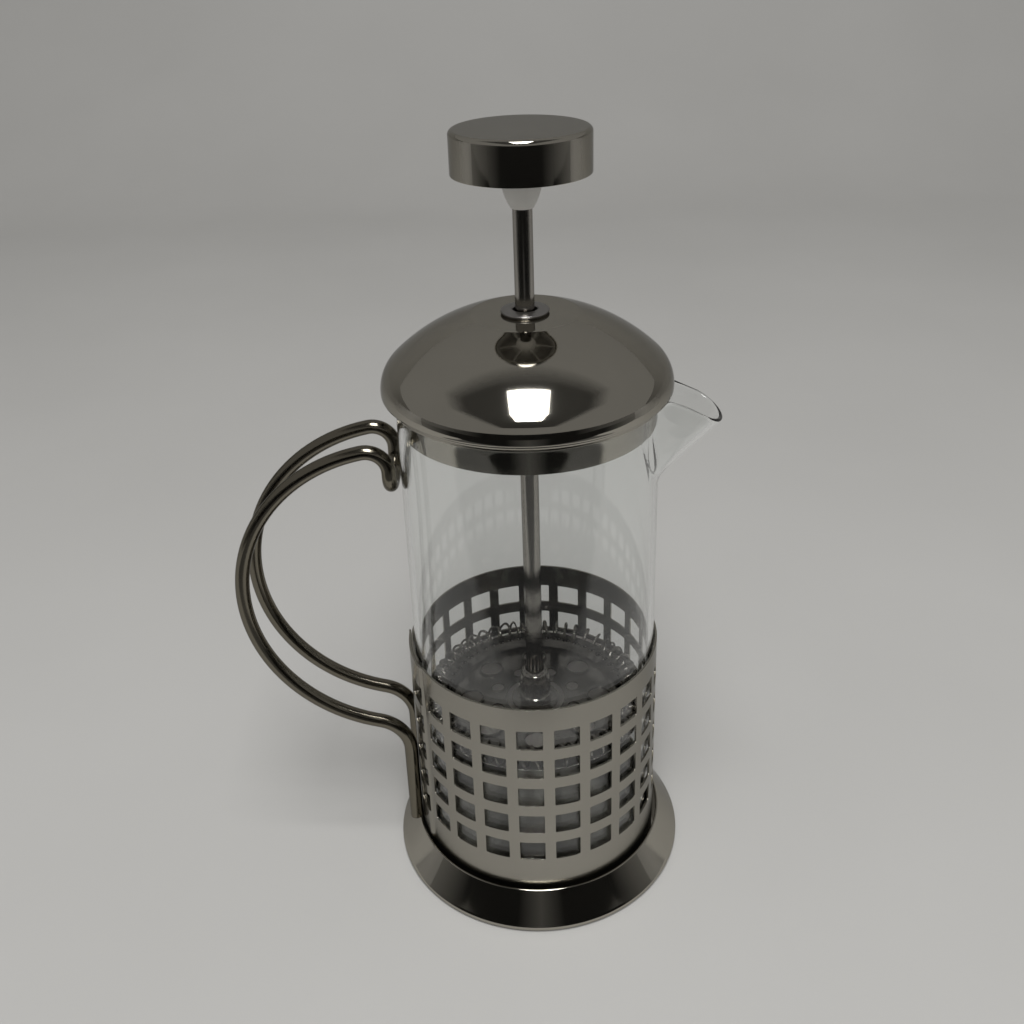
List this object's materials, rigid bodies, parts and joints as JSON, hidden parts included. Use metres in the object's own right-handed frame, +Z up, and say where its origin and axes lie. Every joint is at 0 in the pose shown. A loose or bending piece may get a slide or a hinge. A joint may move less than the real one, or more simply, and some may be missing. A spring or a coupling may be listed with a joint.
{
  "type": "french press",
  "caption": "Plunger coffee press: glass beaker with spout in a pierced steel band on a flared foot, bent wire handle, domed lid and a spring-edged mesh plunger.",
  "frame": {"origin": "centre of the foot ring, on the surface the press stands on", "axes": "+Z up along the plunger rod, +X towards the pouring spout, -X towards the handle"},
  "size_m": [0.1354, 0.0872, 0.2195],
  "materials": {
    "polished_steel": "mirror polished stainless steel with fine wiping marks",
    "satin_steel": "bright rolled stainless sheet, softly reflecting",
    "wire_steel": "drawn and polished stainless wire",
    "rod_steel": "turned stainless steel",
    "collar_steel": "dull turned steel",
    "plate_steel": "pressed and pierced stainless sheet",
    "spring_steel": "bright spring wire",
    "mesh_steel": "fine woven wire cloth",
    "clear_glass": "clear heat-proof glass, fire-polished rim",
    "white_plastic": "moulded white plastic"
  },
  "bodies": {
    "frame": {"base_ring": "polished_steel", "base_pan": "satin_steel", "frame_band": "satin_steel", "handle_wire": "wire_steel"},
    "beaker": {"beaker": "clear_glass"},
    "lid": {"lid_dome": "polished_steel", "lid_ring": "satin_steel", "lid_collar": "collar_steel", "collar_nut": "rod_steel"},
    "plunger": {"knob_cap": "polished_steel", "knob_core": "white_plastic", "knob_nut": "rod_steel", "plunger_rod": "rod_steel", "filter_hub": "rod_steel", "spiral_plate": "plate_steel", "filter_spring": "spring_steel", "mesh_filter": "mesh_steel", "cross_plate": "plate_steel", "cross_nut": "rod_steel"}
  },
  "joints": [
    {"name": "beaker_lift", "type": "slide", "parent": "frame", "child": "beaker", "axis": [0, 0, 1], "range_m": [0, 0.08]},
    {"name": "lid_lift", "type": "slide", "parent": "beaker", "child": "lid", "axis": [0, 0, 1], "range_m": [0, 0.11]},
    {"name": "plunger_slide", "type": "slide", "parent": "lid", "child": "plunger", "axis": [0, 0, 1], "range_m": [-0.0256, 0.0865]}
  ]
}
